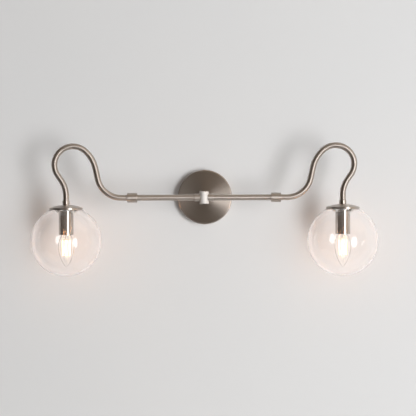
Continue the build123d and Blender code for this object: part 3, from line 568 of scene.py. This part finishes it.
def make_low_screw_heads():
    """The canopy's side screws with their heads pressed down to low ones."""
    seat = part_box("canopy")[1].z
    mesh = nodes["canopy_side_screws"].data.copy()
    for point in mesh.vertices:
        beyond = abs(point.co.z) - seat
        if beyond > 0:
            point.co.z = math.copysign(seat + LOW_HEAD * beyond, point.co.z)
    mesh.materials.clear()
    add_piece(
        "canopy_retaining_screws", mesh, "fixture", "satin_nickel", "turned_z", "canopy_side_screws"
    )


def make_goosenecks():
    for side, sign in SIDES.items():
        low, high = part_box(f"{side}_gooseneck")
        cup_low, cup_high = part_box(f"{side}_socket_cup")
        start = min(abs(low.x), abs(high.x))
        lamp = abs(cup_low.x + cup_high.x) / 2
        line = neck_line(start, lamp, low.z)
        mesh = tube_mesh(f"{side}_swan_neck", line, sign)
        add_piece(
            f"{side}_swan_neck", mesh, f"{side}_arm", "satin_nickel", "bent_tube", f"{side}_gooseneck"
        )


# ------------------------------------------------------------------------------------ stage

WALL_PAINTS = (srgb(220, 220, 220), srgb(222, 221, 220))
FLOOR_PAINT = srgb(196, 194, 190)
PATCH_SCALE = 3.0
ROLLER_SCALE = 700.0
ROLLER_RELIEF = 0.05
ROLLER_DEPTH = 0.0002

# What the metal and the glass mirror: the span of a direction's x or z over which the studio's brightness
# goes from one level to another
RIGHT_SIDE = ((0.2, 1.0), (0.0, 0.6))
OVERHEAD = ((0.1, 0.8), (0.0, 0.6))
OVERHEAD_SHARE = ((-0.4, 0.1), (0.0, 1.0))  # across: none of it on the left
FRONT = ((-0.6, 0.0), (0.05, 0.14))
MIRRORED_COLOUR = (1.0, 0.83, 0.68, 1.0)
ROOM_LEVEL = 0.22  # what reaches matt surfaces
BACKGROUND_LEVEL = 0.72  # what is seen past the wall
ROOM_COLOUR = (1.0, 0.985, 0.98, 1.0)


def make_backdrop():
    """Pale wall and floor in one sheet, joined by a cove; from behind it isn't there."""
    points = [(-FLOOR_DEPTH, -FLOOR_DROP)]
    for step in range(COVE_STEPS + 1):
        turn = math.radians(90 * step / COVE_STEPS)
        y = WALL_GAP - COVE_RADIUS + COVE_RADIUS * math.sin(turn)
        z = -FLOOR_DROP + COVE_RADIUS - COVE_RADIUS * math.cos(turn)
        points.append((y, z))
    points.append((WALL_GAP, WALL_TOP))
    verts = []
    faces = []
    for y, z in points:
        verts += [(-WALL_HALF, y, z), (WALL_HALF, y, z)]
    for row in range(len(points) - 1):
        first = 2 * row
        faces.append((first, first + 1, first + 3, first + 2))
    mesh = bpy.data.meshes.new("backdrop")
    mesh.from_pydata(verts, [], faces)
    mesh.validate()
    backdrop = bpy.data.objects.new("backdrop", mesh)
    bpy.context.scene.collection.objects.link(backdrop)
    for polygon in mesh.polygons:
        polygon.use_smooth = True
    backdrop.visible_shadow = False
    mesh.materials.append(wall_paint())


def wall_paint():
    """Matt paint with faint patches and a roller's texture, darker on the floor; it vanishes from behind."""
    material, tree, output = new_material("wall_paint")
    shader = principled(tree, output, Roughness=0.9)
    shader.inputs["Specular IOR Level"].default_value = 0.2
    paint = mix_colours(tree, object_noise(tree, PATCH_SCALE, 2.0), *WALL_PAINTS)
    place = node(tree, "ShaderNodeTexCoord")
    height = node(tree, "ShaderNodeSeparateXYZ")
    link(tree, place.outputs["Object"], height.inputs["Vector"])
    cove = (-FLOOR_DROP, COVE_RADIUS - FLOOR_DROP)
    up_wall = map_range(tree, height.outputs["Z"], cove, (0.0, 1.0))
    link(tree, mix_colours(tree, up_wall, FLOOR_PAINT, paint), shader.inputs["Base Color"])
    add_bump(tree, shader, object_noise(tree, ROLLER_SCALE, 2.0), ROLLER_RELIEF, ROLLER_DEPTH)
    side = node(tree, "ShaderNodeNewGeometry")
    gone = node(tree, "ShaderNodeBsdfTransparent")
    surface = mix_shaders(tree, side.outputs["Backfacing"], shader.outputs["BSDF"], gone.outputs["BSDF"])
    link(tree, surface, output.inputs["Surface"])
    return material


def make_key_light():
    """Sheet of light that faces the object; the camera doesn't see it."""
    across, up = KEY_WIDTH / 2, KEY_HEIGHT / 2
    corners = [(-across, -up, 0), (-across, up, 0), (across, up, 0), (across, -up, 0)]
    mesh = bpy.data.meshes.new("key")
    mesh.from_pydata(corners, [], [(0, 1, 2, 3)])
    mesh.materials.append(softbox())
    key = bpy.data.objects.new("key", mesh)
    key.location = KEY_PLACE
    key.rotation_euler = (Vector(KEY_AIM) - Vector(KEY_PLACE)).to_track_quat("-Z", "Y").to_euler()
    key.visible_camera = False
    key.visible_shadow = False
    bpy.context.scene.collection.objects.link(key)


def softbox():
    """Light that fades towards the sheet's edges, sooner where it is mirrored.

    Its back is dark, and it is clear to the rays that come straight through glass.
    """
    material, tree, output = new_material("softbox")
    place = node(tree, "ShaderNodeTexCoord")
    parts = node(tree, "ShaderNodeSeparateXYZ")
    link(tree, place.outputs["Generated"], parts.inputs["Vector"])
    fades = []
    for letter in "XY":
        from_middle = math_node(tree, "ABSOLUTE", math_node(tree, "SUBTRACT", parts.outputs[letter], 0.5))
        fades.append(map_range(tree, from_middle, (0.5 - KEY_EDGE, 0.5), (1.0, 0.0), smooth=True))
    fade = math_node(tree, "MULTIPLY", *fades)
    rays = node(tree, "ShaderNodeLightPath")
    mirrored = math_node(tree, "MAXIMUM", rays.outputs["Is Glossy Ray"], rays.outputs["Is Transmission Ray"])
    sharpened = math_node(tree, "POWER", fade, math_node(tree, "ADD", mirrored, 1.0))
    side = node(tree, "ShaderNodeNewGeometry")
    hidden = math_node(tree, "MAXIMUM", through_glass(tree, rays), side.outputs["Backfacing"])
    shown = math_node(tree, "SUBTRACT", 1.0, hidden)
    level = math_node(tree, "MULTIPLY", math_node(tree, "MULTIPLY", sharpened, shown), KEY_LEVEL)
    light = node(tree, "ShaderNodeEmission", Color=KEY_COLOUR)
    link(tree, level, light.inputs["Strength"])
    clear = node(tree, "ShaderNodeBsdfTransparent")
    surface = add_shaders(tree, light.outputs["Emission"], clear.outputs["BSDF"])
    link(tree, surface, output.inputs["Surface"])
    return material


def make_world():
    """Studio round the object: dim in front and on the left, paler on the right and overhead."""
    world = bpy.data.worlds.new("studio")
    world.use_nodes = True
    tree = world.node_tree
    background = tree.nodes["Background"]
    direction = node(tree, "ShaderNodeTexCoord")
    parts = node(tree, "ShaderNodeSeparateXYZ")
    link(tree, direction.outputs["Generated"], parts.inputs["Vector"])
    across, up = parts.outputs["X"], parts.outputs["Z"]
    right = map_range(tree, across, *RIGHT_SIDE, smooth=True)
    overhead = map_range(tree, up, *OVERHEAD, smooth=True)
    ceiling = math_node(tree, "MULTIPLY", overhead, map_range(tree, across, *OVERHEAD_SHARE, smooth=True))
    front = map_range(tree, across, *FRONT, smooth=True)
    mirrored = math_node(tree, "ADD", math_node(tree, "ADD", right, ceiling), front)
    rays = node(tree, "ShaderNodeLightPath")
    room = mix_numbers(tree, rays.outputs["Is Diffuse Ray"], mirrored, ROOM_LEVEL)
    seen = seen_directly(tree, rays)
    link(tree, mix_numbers(tree, seen, room, BACKGROUND_LEVEL), background.inputs["Strength"])
    unlike_metal = math_node(tree, "MAXIMUM", seen, rays.outputs["Is Diffuse Ray"])
    colour = mix_colours(tree, unlike_metal, MIRRORED_COLOUR, ROOM_COLOUR)
    link(tree, colour, background.inputs["Color"])
    bpy.context.scene.world = world


def make_camera():
    place = Vector(CAMERA_PLACE)
    aim = Vector(CAMERA_AIM)
    data = bpy.data.cameras.new("camera")
    data.sensor_width = SENSOR
    data.lens = SENSOR * (aim - place).length / VIEW_WIDTH
    camera = bpy.data.objects.new("camera", data)
    turn = (aim - place).to_track_quat("-Z", "Y").to_matrix().to_4x4()
    camera.matrix_world = Matrix.Translation(place) @ turn @ Matrix.Rotation(CAMERA_ROLL, 4, "Z")
    bpy.context.scene.collection.objects.link(camera)
    bpy.context.scene.camera = camera


dress_nodes()
make_low_screw_heads()
make_goosenecks()
make_backdrop()
make_key_light()
make_world()
make_camera()
bpy.context.scene.view_settings.view_transform = "Standard"
